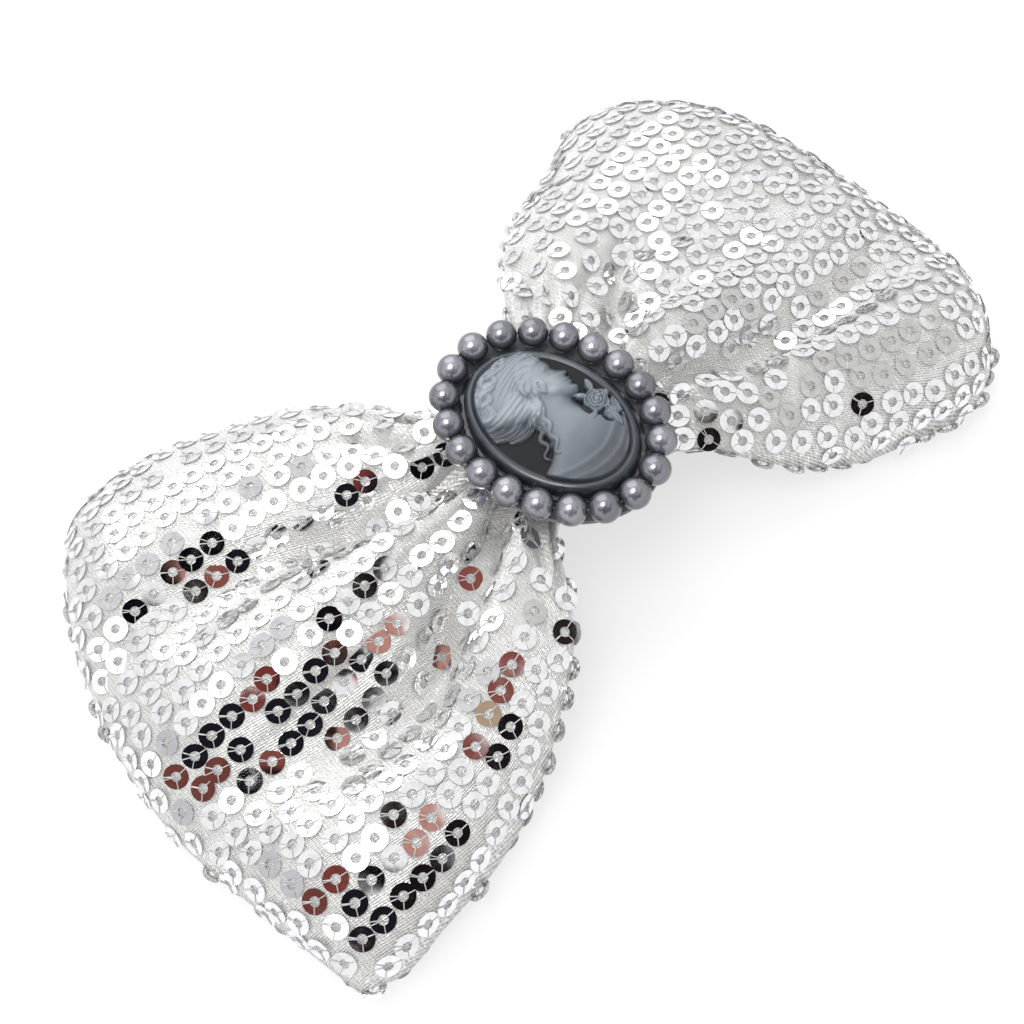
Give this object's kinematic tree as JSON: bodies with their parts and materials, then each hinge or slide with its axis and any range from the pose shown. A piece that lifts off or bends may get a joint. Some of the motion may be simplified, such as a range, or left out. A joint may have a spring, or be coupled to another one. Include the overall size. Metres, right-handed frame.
{
  "type": "bow brooch",
  "caption": "Stuffed fabric bow brooch with sequinned front, oval cameo in a pearl surround, and a back bar pin with a turning safety catch.",
  "frame": {"origin": "on the surface the brooch lies on, under the middle of the knot; the sequinned front faces up", "axes": "+X along the bow from wing to wing, towards the wing the carved profile faces; +Y towards the top of the cameo, which is turned 8 degrees about Z on the bow; +Z out of the front"},
  "size_m": [0.1328, 0.0757, 0.0219],
  "materials": {
    "sequin_cloth": "silver lurex knit sewn all over with flat mirror-silver ring sequins",
    "silver_cloth": "plain silver lurex knit",
    "fibre_filling": "white polyester fibre",
    "thread": "twisted grey polyester sewing thread",
    "grey_felt": "pressed felt",
    "plated_steel": "bright nickel plate",
    "steel_wire": "drawn and polished",
    "dark_resin": "cast, glossy",
    "pale_resin": "cast, satin gloss",
    "clear_glue": "set glossy",
    "pearl_coat": "grey-lavender pearl lacquer on moulded beads"
  },
  "bodies": {
    "bow": {"back_cloth": "silver_cloth", "backing_disc": "grey_felt", "bar_plate": "plated_steel", "bar_stitches": "thread", "cameo_base": "dark_resin", "cameo_relief": "pale_resin", "catch_housing": "plated_steel", "felt_pad": "grey_felt", "front_cloth": "sequin_cloth", "glue_bead": "clear_glue", "hinge_rivet": "plated_steel", "knot_band": "silver_cloth", "left_wadding": "fibre_filling", "pearl_01": "pearl_coat", "pearl_02": "pearl_coat", "pearl_03": "pearl_coat", "pearl_04": "pearl_coat", "pearl_05": "pearl_coat", "pearl_06": "pearl_coat", "pearl_07": "pearl_coat", "pearl_08": "pearl_coat", "pearl_09": "pearl_coat", "pearl_10": "pearl_coat", "pearl_11": "pearl_coat", "pearl_12": "pearl_coat", "pearl_13": "pearl_coat", "pearl_14": "pearl_coat", "pearl_15": "pearl_coat", "pearl_16": "pearl_coat", "pearl_17": "pearl_coat", "pearl_18": "pearl_coat", "pearl_19": "pearl_coat", "pearl_20": "pearl_coat", "pearl_string": "thread", "right_wadding": "fibre_filling", "waist_thread": "thread"},
    "pin": {"pin_stem": "steel_wire"},
    "catch": {"catch_roller": "plated_steel"}
  },
  "joints": [
    {"name": "pin_hinge", "type": "hinge", "parent": "bow", "child": "pin", "pos_m": [-0.0115, 0, 0.0031], "axis": [0, 1, 0], "range_deg": [0, 75]},
    {"name": "catch_turn", "type": "hinge", "parent": "bow", "child": "catch", "pos_m": [0.0115, 0, 0.0031], "axis": [1, 0, 0], "range_deg": [0, 150]}
  ]
}
